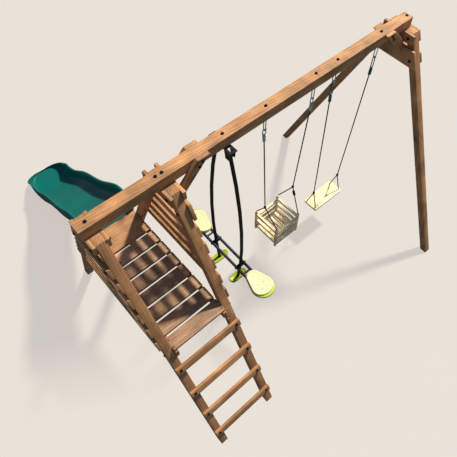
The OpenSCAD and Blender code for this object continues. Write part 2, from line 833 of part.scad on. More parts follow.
// Pear outline, wide end at y = 0 and narrow end at y = reach
module pear(r1, r2, reach) {
    a = acos((r1 - r2) / reach);
    circle(r1);
    translate([0, reach]) circle(r2);
    polygon([
        [-r1 * sin(a), r1 * cos(a)], [r1 * sin(a), r1 * cos(a)],
        [r2 * sin(a), reach + r2 * cos(a)], [-r2 * sin(a), reach + r2 * cos(a)]
    ]);
}
module glider_seat(s) {
    reach = pod_len - pod_w / 2 - pod_narrow / 2;
    color([0.86, 0.86, 0.72]) difference() {
        translate([glider_x, s * (pod_end - pod_w / 2), rail_z + rail_d / 2])
            rotate([0, 0, s > 0 ? 180 : 0]) {
                linear_extrude(pod_low) pear(pod_w / 2, pod_narrow / 2, reach);
                translate([0, 0, pod_low - 1]) linear_extrude(pod_top + 1)
                    pear(pod_w / 2 - pod_inset, pod_narrow / 2 - pod_inset, reach);
            }
        for (x = [-1, 1]) {
            translate([glider_x + x * rail_half, s * pod_bolt_y, rail_z]) cylinder(h = 32, d = 8.6);
            for (y = [0, 1])
                translate([glider_x + x * 30, s * (pod_end - 95 - 55 * y), rail_z])
                    cylinder(h = 80, d = 12);
        }
    }
}
module glider_seat_front() { glider_seat(-1); }
module glider_seat_back() { glider_seat(1); }
module footrest(s) {
    color([0.62, 0.72, 0.20]) difference() {
        translate([glider_x, s * foot_y, foot_z - 4]) linear_extrude(26) rounded(212, 88, 43.9);
        arm_tube(s, arm_d + 1.2);
    }
}
module footrest_front() { footrest(-1); }
module footrest_back() { footrest(1); }

placed() top_beam();
placed() leg_left_front();
placed() leg_left_back();
placed() leg_middle_front();
placed() leg_middle_back();
placed() leg_right_front();
placed() leg_right_back();
placed() head_block_left();
placed() head_block_middle();
placed() head_block_right();
placed() tie_left_outer();
placed() tie_left_inner();
placed() tie_middle_inner();
placed() tie_middle_outer();
placed() tie_right_inner();
placed() tie_right_outer();
placed() low_tie_left();
placed() landing_board_middle();
placed() landing_board_right();
placed() low_tie_right();
placed() knee_brace_middle_front();
placed() knee_brace_middle_back();
placed() knee_brace_right_front();
placed() knee_brace_right_back();
placed() joist_left();
placed() joist_right();
placed() deck_planks();
placed() deck_back_board();
placed() guard_left_lower();
placed() guard_left_upper();
placed() guard_right_lower();
placed() guard_right_upper();
placed() rung_1();
placed() rung_2();
placed() rung_3();
placed() rung_4();
placed() slide();
placed() frame_bolts();
placed() wood_screws();
placed() swing_hangers();
placed() glider_bracket();
placed() glider_top_pins();
placed() glider_arm_front();
placed() glider_arm_back();
placed() glider_rails();
placed() glider_rail_pins();
placed() glider_seat_front();
placed() glider_seat_back();
placed() footrest_front();
placed() footrest_back();
placed() box_long_rails();
placed() box_cross_rails();
placed() box_floor();
placed() box_spacers();
placed() box_ropes();
placed() box_links();
placed() box_toggle();
placed() plank_seat();
placed() plank_ropes();
placed() plank_links();
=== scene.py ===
"""Wooden swing set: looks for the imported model, laid out as an add-on."""

import json
import math

import bmesh
import bpy
from bpy.props import FloatProperty, FloatVectorProperty, IntProperty, PointerProperty
from mathutils import Euler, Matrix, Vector


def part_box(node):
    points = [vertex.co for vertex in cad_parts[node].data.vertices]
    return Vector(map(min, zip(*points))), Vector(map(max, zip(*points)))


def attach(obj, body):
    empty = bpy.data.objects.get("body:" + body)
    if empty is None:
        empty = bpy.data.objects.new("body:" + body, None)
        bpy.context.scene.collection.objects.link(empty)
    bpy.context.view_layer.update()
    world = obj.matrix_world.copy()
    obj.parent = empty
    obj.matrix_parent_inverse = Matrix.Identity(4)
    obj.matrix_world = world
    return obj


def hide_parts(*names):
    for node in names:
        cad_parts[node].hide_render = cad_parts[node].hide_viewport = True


bl_info = {
    "name": "Wooden swing set",
    "version": (1, 0, 0),
    "blender": (4, 5, 0),
    "location": "View3D > Sidebar > Swing set",
    "description": "Finishes and soft pieces of a wooden swing set",
    "category": "Object",
}

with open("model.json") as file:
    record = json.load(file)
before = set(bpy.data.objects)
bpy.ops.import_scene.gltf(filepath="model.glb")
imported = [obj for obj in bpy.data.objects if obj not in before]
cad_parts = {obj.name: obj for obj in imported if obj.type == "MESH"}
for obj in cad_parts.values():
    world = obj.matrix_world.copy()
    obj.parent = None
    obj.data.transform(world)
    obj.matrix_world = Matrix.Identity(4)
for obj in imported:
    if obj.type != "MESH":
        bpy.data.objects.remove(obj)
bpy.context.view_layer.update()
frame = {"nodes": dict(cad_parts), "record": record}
BODIES = frame["record"]["behaviour"]["bodies"]
BODY_OF = {node: body for body, nodes in BODIES.items() for node in nodes}
SLOT_OF = {entry["node"]: entry["material_slot"] for entry in frame["record"]["subparts"]}
BEAM_LOW, BEAM_HIGH = (Vector(v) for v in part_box("top_beam"))
# End of the beam, its middle line and the ground
START = Vector((BEAM_LOW.x, (BEAM_LOW.y + BEAM_HIGH.y) / 2, 0.0))


def place(x, y, z):
    """A point given from the end of the beam, its middle line and the ground."""
    return START + Vector((x, y, z))


# --------------------------------------------------------------------------
# Sizes and colours


def colour(name, words, value):
    return FloatVectorProperty(name=name, description=words, default=value, size=3, min=0.0, max=1.0,
                               subtype="COLOR")


def length(name, words, value):
    return FloatProperty(name=name, description=words, default=value, min=0.0, subtype="DISTANCE",
                         unit="LENGTH")


def number(name, words, value):
    return FloatProperty(name=name, description=words, default=value)


class TimberLook(bpy.types.PropertyGroup):
    light: colour("Light stain", "Stain on the soft early wood", (0.66, 0.31, 0.125))
    dark: colour("Dark stain", "Stain on the hard late wood", (0.22, 0.105, 0.046))
    # The deck's stain is greyer than the frame's: partly the deck's own tone, partly painted shade, since the
    # deck lies in the shadow of the guard boards.
    shade_deck_light: colour("Light deck", "Early wood of the shadowed deck", (0.60, 0.32, 0.17))
    shade_deck_dark: colour("Dark deck", "Late wood of the shadowed deck", (0.20, 0.12, 0.075))
    pine_light: colour("Light pine", "Early wood of the seats", (1.0, 0.87, 0.58))
    pine_dark: colour("Dark pine", "Late wood of the seats", (1.0, 0.73, 0.42))
    plank_light: colour("Varnished light", "Early wood of the plank seat", (0.97, 0.90, 0.52))
    plank_dark: colour("Varnished dark", "Late wood of the plank seat", (0.88, 0.74, 0.36))
    ease: length("Eased edge", "Rounding of the edges of the timber", 0.0032)
    seat_ease: length("Seat edge", "Rounding of the edges of the seat wood", 0.0042)


class SlideLook(bpy.types.PropertyGroup):
    colour: colour("Plastic", "Colour of the slide", (0.002, 0.118, 0.106))
    width: length("Width", "Width over the walls", 0.470)
    wall: length("Wall", "Thickness of the plastic", 0.006)
    rim: length("Rim", "Width of the rolled rim", 0.015)
    side: length("Side height", "Height of the side walls over the bed", 0.17)
    corner: length("End corner", "Radius of the two corners of the run-out", 0.185)
    stations: IntProperty(name="Stations", description="Cross sections along the slide", default=150)


class RopeLook(bpy.types.PropertyGroup):
    diameter: length("Rope", "Diameter of the rope", 0.012)
    lay: length("Lay", "Length of one turn of the strands", 0.042)
    dark: colour("Dark rope", "Rope of the box swing", (0.008, 0.007, 0.011))
    green: colour("Green rope", "Rope of the plank swing", (0.005, 0.017, 0.016))


class MetalLook(bpy.types.PropertyGroup):
    black: colour("Black coat", "Powder coat of the arms and bolts", (0.004, 0.004, 0.0045))
    indigo: colour("Indigo coat", "Powder coat of the glider rails", (0.016, 0.012, 0.040))
    ease: length("Eased edge", "Rounding of the edges of the arms", 0.0006)
    zinc: colour("Zinc", "Hot dip zinc of the hangers", (0.52, 0.58, 0.64))
    green: colour("Green coat", "Paint of the long links", (0.010, 0.095, 0.070))


class SeatLook(bpy.types.PropertyGroup):
    cream: colour("Cream", "Top of the glider seats", (0.74, 0.69, 0.38))
    lime: colour("Lime", "Lower part of the glider seats and the footrests", (0.37, 0.47, 0.010))
    dish: length("Dish", "Depth of the hollow of a glider seat", 0.004)
    lime_end: length("Lime end", "Width of the tray that shows past the far end of the top", 0.024)


class StageLook(bpy.types.PropertyGroup):
    floor: colour("Floor", "Colour of the floor", (0.143, 0.138, 0.134))
    glow: colour("Floor fill", "Even light of the floor, which keeps its shadows pale", (0.599, 0.550, 0.499))
    lit: colour("Lit floor", "Floor where the shadows have faded out", (0.815, 0.760, 0.686))
    bounce: number("Bounce", "Share of the floor fill that lights the set", 0.02)
    sun: number("Sun", "Strength of the sun", 5.4)
    sky: number("Sky", "Strength of the light from all round", 0.26)
    soft: number("Soft", "Apparent size of the sun in degrees", 5.0)
    lens: number("Lens", "Focal length of the camera", 37.757)


SETTINGS = {
    "timber_look": TimberLook,
    "slide_look": SlideLook,
    "rope_look": RopeLook,
    "metal_look": MetalLook,
    "seat_look": SeatLook,
    "stage_look": StageLook,
}


# --------------------------------------------------------------------------
# Shader groups


class Net:
    """Short way to lay out the nodes of one tree."""

    def __init__(self, tree):
        self.tree = tree
        tree.nodes.clear()

    def add(self, kind, sockets=None, **props):
        node = self.tree.nodes.new(kind)
        for key, value in props.items():
            setattr(node, key, value)
        for key, value in (sockets or {}).items():
            if isinstance(value, bpy.types.NodeSocket):
                self.tree.links.new(value, node.inputs[key])
            else:
                node.inputs[key].default_value = value
        return node

    def math(self, operation, a, b=0.0, clamp=False):
        return self.add("ShaderNodeMath", {0: a, 1: b}, operation=operation, use_clamp=clamp).outputs[0]

    def scale(self, vector, factors):
        sockets = {0: vector, 1: factors}
        return self.add("ShaderNodeVectorMath", sockets, operation="MULTIPLY").outputs[0]

    def grey(self, value):
        """A vector or colour with one value in all three places."""
        return self.add("ShaderNodeCombineXYZ", {0: value, 1: value, 2: value}).outputs[0]

    def noise(self, vector, size, detail=2.0, rough=0.5, warp=0.0):
        sockets = {"Vector": vector, "Scale": size, "Detail": detail, "Roughness": rough, "Distortion": warp}
        return self.add("ShaderNodeTexNoise", sockets).outputs["Fac"]

    def span(self, value, low, high, to_low=0.0, to_high=1.0):
        sockets = {"Value": value, "From Min": low, "From Max": high, "To Min": to_low, "To Max": to_high}
        return self.add("ShaderNodeMapRange", sockets, clamp=True).outputs[0]

    def mix(self, share, a, b, blend="MIX"):
        node = self.add("ShaderNodeMix", data_type="RGBA", blend_type=blend)
        for index, value in ((0, share), (6, a), (7, b)):
            if isinstance(value, bpy.types.NodeSocket):
                self.tree.links.new(value, node.inputs[index])
            elif index and len(value) == 3:
                node.inputs[index].default_value = (*value, 1.0)
            else:
                node.inputs[index].default_value = value
        return node.outputs[2]


def shader_group(name, sockets_in, sockets_out, build):
    """A node group with named sockets, made once."""
    group = bpy.data.node_groups.get(name)
    if group:
        return group
    group = bpy.data.node_groups.new(name, "ShaderNodeTree")
    for label, kind in sockets_in:
        group.interface.new_socket(name=label, in_out="INPUT", socket_type="NodeSocket" + kind)
    for label, kind in sockets_out:
        group.interface.new_socket(name=label, in_out="OUTPUT", socket_type="NodeSocket" + kind)
    net = Net(group)
    start = net.add("NodeGroupInput")
    end = net.add("NodeGroupOutput")
    for label, socket in build(net, start.outputs).items():
        group.links.new(socket, end.inputs[label])
    return group


# Shares of the growth bands, the broad streaks and the fibres in the grain
BAND_SHARE, BROAD_SHARE, FIBRE_SHARE = 0.24, 0.80, 0.55
# How far a seed moves the grain, how much worn stain differs along a board, and boards of one node differ
SEED_SHIFT = (3.71, 1.37, 2.11)
WORN_SPAN = (0.70, 1.18)
LOT_SPAN = (0.74, 1.22)
# Steps of the seed from node to node, and from board to board in a node
NODE_SEED, LOT_SEED = 0.917, 0.731
KNOT_DEPTH, KNOT_TINT = 0.78, (0.01, 0.006, 0.004)


def grain_net(net, given):
    """Sawn softwood: growth bands, fibres, knots and stain that has worn unevenly."""
    shift = net.scale(net.grey(given["Seed"]), SEED_SHIFT)
    moved = net.add("ShaderNodeVectorMath", {0: given["Vector"], 1: shift}, operation="ADD").outputs[0]
    bent = net.scale(moved, (0.9, 11.0, 11.0))
    bands = net.add("ShaderNodeTexWave", {"Vector": bent, "Scale": 2.3, "Distortion": 5.5, "Detail": 3.0,
                                          "Detail Scale": 1.1, "Detail Roughness": 0.62},
                    wave_type="BANDS", bands_direction="DIAGONAL").outputs["Fac"]
    broad = net.noise(net.scale(moved, (1.6, 7.0, 7.0)), 1.5, 4.0, 0.6, 0.4)
    fibre = net.noise(net.scale(moved, (7.0, 170.0, 170.0)), 1.0, 3.0, 0.65)
    blotch = net.noise(moved, 5.5, 3.0, 0.55)
    cell = net.add("ShaderNodeTexVoronoi", {"Vector": net.scale(moved, (2.1, 6.0, 6.0)), "Scale": 1.0,
                                            "Randomness": 1.0}, feature="F1")
    knot = net.span(cell.outputs["Distance"], 0.055, 0.12, 1.0, 0.0)
    ring = net.span(cell.outputs["Distance"], 0.10, 0.22, 1.0, 0.0)
    mixed = net.math("ADD", net.math("MULTIPLY", bands, BAND_SHARE), net.math("MULTIPLY", broad, BROAD_SHARE))
    mixed = net.math("ADD", mixed, net.math("MULTIPLY", net.math("SUBTRACT", fibre, 0.5), FIBRE_SHARE))
    clear = net.math("SUBTRACT", 1.0, net.math("MULTIPLY", ring, 0.45))
    share = net.math("MULTIPLY", net.span(mixed, 0.12, 0.92), clear, clamp=True)
    tone = net.mix(share, given["Dark"], given["Light"])
    flaws = net.math("MULTIPLY", net.span(given["Checks"], 0.02, 0.35), 0.72)
    heart = net.mix(KNOT_DEPTH, given["Dark"], KNOT_TINT)
    tone = net.mix(net.math("MULTIPLY", knot, flaws), tone, heart)
    worn = net.span(blotch, 0.34, 0.68, *WORN_SPAN)
    tone = net.mix(1.0, tone, net.grey(worn), "MULTIPLY")
    check = net.span(fibre, 0.30, 0.42, 1.0, 0.0)
    tone = net.mix(net.math("MULTIPLY", check, given["Checks"]), tone, given["Dark"])
    height = net.math("ADD", net.math("MULTIPLY", fibre, 0.7), net.math("MULTIPLY", bands, 0.35))
    rough = net.span(mixed, 0.1, 0.9, 0.78, 0.60)
    return {"Color": tone, "Height": height, "Roughness": rough}


def grain_group():
    return shader_group(
        "Sawn grain",
        [("Vector", "Vector"), ("Seed", "Float"), ("Light", "Color"), ("Dark", "Color"), ("Checks", "Float")],
        [("Color", "Color"), ("Height", "Float"), ("Roughness", "Float")], grain_net)


def skin_net(net, given):
    """Fine unevenness of a moulded or coated skin, with soft scuffs."""
    fine = net.noise(given["Vector"], given["Fine"], 3.0, 0.6)
    broad = net.noise(given["Vector"], given["Broad"], 3.0, 0.5)
    scuff = net.noise(net.scale(given["Vector"], (40.0, 3.0, 3.0)), 6.0, 4.0, 0.7)
    mask = net.math("MULTIPLY", net.span(scuff, 0.56, 0.75), net.span(broad, 0.42, 0.66), clamp=True)
    return {"Height": fine, "Cloud": broad, "Scuff": mask}


def skin_group():
    return shader_group("Moulded skin", [("Vector", "Vector"), ("Fine", "Float"), ("Broad", "Float")],
                        [("Height", "Float"), ("Cloud", "Float"), ("Scuff", "Float")], skin_net)


def material(name):
    """A new material with a Principled shader: returns it, its net, the shader and object coordinates."""
    made = bpy.data.materials.new(name)
    made.use_nodes = True
    net = Net(made.node_tree)
    shader = net.add("ShaderNodeBsdfPrincipled")
    out = net.add("ShaderNodeOutputMaterial")
    made.node_tree.links.new(shader.outputs[0], out.inputs[0])
    where = net.add("ShaderNodeTexCoord").outputs["Object"]
    return made, net, shader, where


def bump(net, shader, height, strength, distance):
    made = net.add("ShaderNodeBump", {"Height": height, "Strength": strength, "Distance": distance})
    net.tree.links.new(made.outputs[0], shader.inputs["Normal"])


def timber(name, turn, seed, light, dark, lots=None, checks=0.35, gloss=0.0):
    """Wood whose grain runs along the row's X axis after turn, with its own seed for each board."""
    made, net, shader, where = material(name)
    turned = {"Vector": where, "Rotation": turn}
    along = net.add("ShaderNodeMapping", turned, vector_type="TEXTURE").outputs[0]
    if lots:
        axis, first, step = lots
        part = net.add("ShaderNodeSeparateXYZ", {0: where}).outputs[axis]
        count = net.math("FLOOR", net.math("DIVIDE", net.math("SUBTRACT", part, first), step))
        number_of = net.math("ADD", net.math("MULTIPLY", count, LOT_SEED), seed)
    grain = net.add("ShaderNodeGroup", node_tree=grain_group())
    links = net.tree.links
    links.new(along, grain.inputs["Vector"])
    if lots:
        links.new(number_of, grain.inputs["Seed"])
        lift = net.add("ShaderNodeTexWhiteNoise", {"W": number_of}, noise_dimensions="1D").outputs["Value"]
        lift = net.span(lift, 0.0, 1.0, *LOT_SPAN)
        lot = net.grey(lift)
    else:
        grain.inputs["Seed"].default_value = seed
    grain.inputs["Light"].default_value = (*light, 1.0)
    grain.inputs["Dark"].default_value = (*dark, 1.0)
    grain.inputs["Checks"].default_value = checks
    tone = grain.outputs["Color"]
    if lots:
        tone = net.mix(1.0, tone, lot, "MULTIPLY")
    links.new(tone, shader.inputs["Base Color"])
    links.new(grain.outputs["Roughness"], shader.inputs["Roughness"])
    if gloss:
        shader.inputs["Coat Weight"].default_value = gloss
        shader.inputs["Coat Roughness"].default_value = 0.25
    bump(net, shader, grain.outputs["Height"], 0.45, 0.0006)
    return made


def skinned(name, tone, rough, fine=900.0, broad=3.0, strength=0.15, cloud=0.10, scuff=0.12, coat=0.0,
            shine=0.5):
    """A moulded or coated skin in one colour, a little cloudy and scuffed."""
    made, net, shader, where = material(name)
    skin = net.add("ShaderNodeGroup", {"Vector": where, "Fine": fine, "Broad": broad}, node_tree=skin_group())
    deep = tuple(c * (1.0 - cloud) for c in tone)
    high = tuple(min(1.0, c * (1.0 + cloud)) for c in tone)
    base = net.mix(net.span(skin.outputs["Cloud"], 0.3, 0.7), deep, high)
    pale = tuple(min(1.0, c * 0.6 + 0.16) for c in tone)
    base = net.mix(net.math("MULTIPLY", skin.outputs["Scuff"], scuff), base, pale)
    net.tree.links.new(base, shader.inputs["Base Color"])
    roughness = net.math("ADD", rough, net.math("MULTIPLY", skin.outputs["Cloud"], 0.12))
    net.tree.links.new(roughness, shader.inputs["Roughness"])
    shader.inputs["Specular IOR Level"].default_value = shine
    if coat:
        shader.inputs["Coat Weight"].default_value = coat
        shader.inputs["Coat Roughness"].default_value = 0.12
    bump(net, shader, skin.outputs["Height"], strength, 0.0003)
    return made


# Flakes of zinc in a metre, and the black of the coated nuts
FLAKES = 260.0
NUT_BLACK = (0.008, 0.008, 0.009)


def zinc(name, tone, top=None):
    """Hot dip zinc: dull flakes of slightly different grey. Over the height top it is coated black."""
    made, net, shader, where = material(name)
    flake = net.add("ShaderNodeTexVoronoi", {"Vector": where, "Scale": FLAKES}, feature="F1").outputs["Color"]
    grey = net.add("ShaderNodeSeparateXYZ", {0: flake}).outputs[0]
    base = net.mix(grey, tuple(c * 0.72 for c in tone), tuple(min(1.0, c * 1.2) for c in tone))
    net.tree.links.new(base, shader.inputs["Base Color"])
    net.tree.links.new(net.span(grey, 0.0, 1.0, 0.32, 0.52), shader.inputs["Roughness"])
    shader.inputs["Metallic"].default_value = 0.45
    if top is not None:
        spot = net.add("ShaderNodeNewGeometry").outputs["Position"]
        height = net.add("ShaderNodeSeparateXYZ", {0: spot}).outputs[2]
        over = net.span(height, top - 0.002, top - 0.001)
        coated = net.mix(over, base, NUT_BLACK)
        net.tree.links.new(coated, shader.inputs["Base Color"])
    bump(net, shader, grey, 0.12, 0.0002)
    return made


def fibre(name, tone):
    """Laid synthetic rope: fine yarns along the strands and dust in between."""
    made, net, shader, where = material(name)
    yarn = net.noise(where, 1400.0, 2.0, 0.6)
    dust = net.noise(where, 45.0, 3.0, 0.6)
    base = net.mix(net.span(yarn, 0.35, 0.65), tuple(c * 0.55 for c in tone), tuple(c * 1.7 for c in tone))
    base = net.mix(net.span(dust, 0.5, 0.8, 0.0, 0.05), base, (0.12, 0.11, 0.10))
    net.tree.links.new(base, shader.inputs["Base Color"])
    shader.inputs["Roughness"].default_value = 0.72
    shader.inputs["Sheen Weight"].default_value = 0.08
    bump(net, shader, yarn, 0.5, 0.0004)
    return made


# --------------------------------------------------------------------------
# Shapes

# Edges that are eased: longer and sharper than these. Edges flatter than the last one are shaded smooth.
LONG_EDGE = 0.017
SHARP_EDGE = math.radians(30)
SMOOTH_EDGE = math.radians(32)
# Share of the rope's radius that lies in the grooves between its three strands
GROOVE = 0.80
# Coil of a knot: mean radius and swell as shares of the rope, and how far one turn climbs
COIL_RADIUS, COIL_SWELL, COIL_CLIMB = 0.62, 0.16, 0.95
COIL_TIGHT = 0.8


def piece(name, points, faces, finish, body, node):
    """A mesh that rides on a body, stands for a node and has one finish."""
    mesh = bpy.data.meshes.new(name)
    mesh.from_pydata([tuple(p) for p in points], [], [tuple(f) for f in faces])
    settle(name, mesh, finish, body, node)


def settle(name, mesh, finish, body, node):
    """Puts a mesh in the scene as a smooth piece of a body, in place of a node."""
    mesh.validate()
    made = bpy.data.objects.new(name, mesh)
    bpy.context.scene.collection.objects.link(made)
    work = bmesh.new()
    work.from_mesh(mesh)
    bmesh.ops.recalc_face_normals(work, faces=work.faces)
    work.to_mesh(mesh)
    work.free()
    for polygon in mesh.polygons:
        polygon.use_smooth = True
    mesh.materials.clear()
    mesh.materials.append(finish)
    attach(made, body)
    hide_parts(node)


def loft(rings, caps=True):
    """Faces between closed rings with the same count of points."""
    count = len(rings[0])
    points = [p for ring in rings for p in ring]
    faces = []
    for r in range(len(rings) - 1):
        for i in range(count):
            j = (i + 1) % count
            faces.append((r * count + i, r * count + j, (r + 1) * count + j, (r + 1) * count + i))
    if caps:
        faces.append(tuple(range(count - 1, -1, -1)))
        faces.append(tuple(range((len(rings) - 1) * count, len(rings) * count)))
    return points, faces


def path_frames(path):
    """Even directions and cross axes along a list of points, without twist."""
    path = [Vector(p) for p in path]
    ways = []
    for i in range(len(path)):
        ways.append((path[min(i + 1, len(path) - 1)] - path[max(i - 1, 0)]).normalized())
    side = ways[0].orthogonal().normalized()
    frames = []
    for way in ways:
        side = (side - way * side.dot(way)).normalized()
        frames.append((way, side, way.cross(side).normalized()))
    return path, frames


def resample(path, step):
    """Points at an even step along straight runs."""
    out = [Vector(path[0])]
    for a, b in zip(path, path[1:]):
        a, b = Vector(a), Vector(b)
        count = max(1, round((b - a).length / step))
        out += [a.lerp(b, (i + 1) / count) for i in range(count)]
    return out


def round_corners(path, reach):
    """Replaces each corner of a path by a short curve."""
    path = [Vector(p) for p in path]
    out = [path[0]]
    for a, b, c in zip(path, path[1:], path[2:]):
        cut = min(reach, (b - a).length * 0.45, (c - b).length * 0.45)
        low = b + (a - b).normalized() * cut
        high = b + (c - b).normalized() * cut
        for i in range(7):
            t = i / 6
            out.append(low * (1 - t) ** 2 + b * 2 * t * (1 - t) + high * t ** 2)
    return out + [path[-1]]


def rope_mesh(path, diameter, lay, step=0.004, sides=15):
    """Three strands laid round each other, as one skin along a path."""
    path, frames = path_frames(resample(path, step))
    rings, run = [], 0.0
    for i, (point, (way, side, cross)) in enumerate(zip(path, frames)):
        if i:
            run += (point - path[i - 1]).length
        turn = 2 * math.pi * run / lay
        ring = []
        for s in range(sides):
            angle = 2 * math.pi * s / sides
            radius = diameter / 2 * (GROOVE + (1 - GROOVE) * abs(math.cos(1.5 * (angle - turn))))
            ring.append(point + side * math.cos(angle) * radius + cross * math.sin(angle) * radius)
        rings.append(ring)
    return loft(rings)


def join(*parts):
    """Adds up several lists of points and faces."""
    points, faces = [], []
    for some, shapes in parts:
        shift = len(points)
        points += some
        faces += [tuple(i + shift for i in face) for face in shapes]
    return points, faces


def wrapped_knot(middle, way, diameter, lay, turns):
    """A rope wound round itself: a short coil with its end tucked in."""
    way = way.normalized()
    side = way.orthogonal().normalized()
    cross = way.cross(side)
    path = []
    steps = 18 * turns
    for i in range(steps + 1):
        t = i / steps
        angle = 2 * math.pi * turns * t
        radius = diameter * (COIL_RADIUS + COIL_SWELL * math.sin(math.pi * t))
        path.append(middle + way * (t - 0.5) * diameter * COIL_CLIMB * turns * COIL_TIGHT
                    + side * math.cos(angle) * radius + cross * math.sin(angle) * radius)
    return rope_mesh(path, diameter * 0.92, lay, 0.006, 10)


def eased(node, width, finish):
    """The shape of a node with its long edges rounded. It stands for the node."""
    source = frame["nodes"][node]
    mesh = source.data.copy()
    mesh.name = node + "_eased"
    work = bmesh.new()
    work.from_mesh(mesh)
    work.transform(source.matrix_world)
    bmesh.ops.remove_doubles(work, verts=work.verts, dist=1e-6)
    bmesh.ops.dissolve_limit(work, angle_limit=math.radians(1.0), verts=work.verts, edges=work.edges)
    edges = [e for e in work.edges if len(e.link_faces) == 2 and e.calc_length() > LONG_EDGE
             and e.calc_face_angle(0.0) > SHARP_EDGE]
    bmesh.ops.bevel(work, geom=edges, offset=width, segments=3, profile=0.5, affect="EDGES",
                    clamp_overlap=True)
    for edge in work.edges:
        edge.smooth = edge.calc_face_angle(0.0) < SMOOTH_EDGE
    work.to_mesh(mesh)
    work.free()
    settle(mesh.name, mesh, finish, BODY_OF[node], node)


def finish_node(node, made):
    """Puts a finish on a CAD node that stays as it is."""
    target = frame["nodes"][node]
    if target.material_slots:
        for slot in target.material_slots:
            slot.link = "OBJECT"
            slot.material = made
    else:
        target.data.materials.append(made)


# --------------------------------------------------------------------------
# Timber

QUARTER = math.pi / 2
LEAN = math.radians(24.75)
# Deck planks and the gap between them, guard boards from one to the next, and the number of planks
PLANKS = 7
PLANK_GAP = 0.022
GUARD_STEP = 0.151
GUARD_HALF_GAP = 0.032
# How far the stain differs from board to board
BOARD_VARIES = 0.13


def turn_to(way):
    """Turn that brings the X axis of the texture onto a direction."""
    return tuple(Vector((1.0, 0.0, 0.0)).rotation_difference(Vector(way)).to_euler())


ALONG_X = (0.0, 0.0, 0.0)
ALONG_Y = (0.0, 0.0, QUARTER)
ALONG_Z = turn_to((0.0, 0.0, 1.0))


def grain_turn(node):
    """Direction of the grain of a timber node, as a turn of the texture space."""
    if node.startswith("leg_"):
        # legs lean to the middle line
        lean = -LEAN if node.endswith("front") else LEAN
        return turn_to((0.0, -math.sin(lean), math.cos(lean)))
    if node.startswith("knee_brace"):
        return turn_to(Vector((1.0 if "middle" in node else -1.0, 0.0, 1.0)).normalized())
    if node == "top_beam" or node.startswith(("deck_", "rung_")):
        return ALONG_X
    return ALONG_Y


class SWINGSET_OT_timber(bpy.types.Operator):
    """Eases and stains the timber of the frame, the tower and the ladder"""

    bl_idname = "swingset.timber"
    bl_label = "Timber"

    def execute(self, context):
        look = context.scene.timber_look
        nodes = [n for n in frame["nodes"] if SLOT_OF[n] == "brown_timber"]
        for index, node in enumerate(sorted(nodes)):
            lots = None
            if node == "deck_planks":
                low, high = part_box(node)
                lots = (1, low[1] - PLANK_GAP / 2, (high[1] - low[1] + PLANK_GAP) / PLANKS)
            if node.startswith("guard_"):
                lots = (2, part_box(node)[0][2] - GUARD_HALF_GAP, GUARD_STEP)
            tone = 1.0 + BOARD_VARIES * math.sin(index * 2.4)
            light, dark = (tuple(c * tone for c in pair) for pair in (look.light, look.dark))
            # the deck gets its greyer stain, which is partly painted shade
            if node == "deck_planks":
                light, dark = look.shade_deck_light, look.shade_deck_dark
            finish = timber(f"stained_{node}", grain_turn(node), 1.0 + index * NODE_SEED, light, dark,
                            lots)
            eased(node, look.ease, finish)
        return {"FINISHED"}


# --------------------------------------------------------------------------
# Slide

SLIDE_LOW, SLIDE_HIGH = (Vector(v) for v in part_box("slide"))
TOP_Y = SLIDE_LOW.y - START.y
END_Y = SLIDE_HIGH.y - START.y
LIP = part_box("deck_planks")[1][2]
BOARD_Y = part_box("deck_back_board")[1][1] - START.y
# The lip bends down past the back board, falls evenly, and ends in a flat run-out
BREAK_Y = BOARD_Y + 0.137
FALL = 0.775
LIP_BEND, LOW_BEND = 0.10, 0.15
RUN = 0.33
RUN_OUT = 0.026
# Waves of the bed: where they start, how far they reach, their middle, length and height
WAVE_Y, WAVE_REACH, WAVE_MIDDLE, WAVE_LENGTH, WAVE_HEIGHT = 0.86, 1.58, 1.56, 1.05, 0.030
# Side walls: height at the lip, extra height and height at the run-out
LIP_SIDE, EXTRA_SIDE, END_SIDE = 0.105, 0.05, 0.026
# Skirt under the bed: where it starts past the back board, how fast and how far it drops
SKIRT_Y, SKIRT_SLOPE, SKIRT_DROP = 0.04, 0.35, 0.034
# Cove between bed and wall
COVE = 0.055


def soft_min(a, b, k):
    """The lower of two heights, with a soft change over k between them."""
    return min(a, b) - max(k - abs(a - b), 0.0) ** 2 / (4 * k)


def bed_height(y, wall):
    """Height of the sliding face at a distance from the middle line."""
    wave = 0.0
    if WAVE_Y < y < WAVE_Y + WAVE_REACH:
        wave = (WAVE_HEIGHT * math.sin((y - WAVE_Y) * math.pi / WAVE_REACH) ** 0.7
                * math.sin((y - WAVE_MIDDLE) * 2 * math.pi / WAVE_LENGTH))
    lip = LIP + wall
    upper = soft_min(lip - FALL * (y - BREAK_Y), lip, LIP_BEND)
    return wave - soft_min(-upper, -RUN_OUT, LOW_BEND)


def side_height(y, side):
    """Height of the side walls over the bed at a distance from the middle line."""
    if y < BREAK_Y:
        return LIP_SIDE + (side - LIP_SIDE) * max(0.0, (y - TOP_Y) / (BREAK_Y - TOP_Y))
    if y > END_Y - RUN:
        return END_SIDE + (side + EXTRA_SIDE - END_SIDE) * max(0.0, (END_Y - y) / RUN) ** 0.9
    return side + EXTRA_SIDE * max(0.0, (y - END_Y + 2 * RUN) / RUN) ** 2


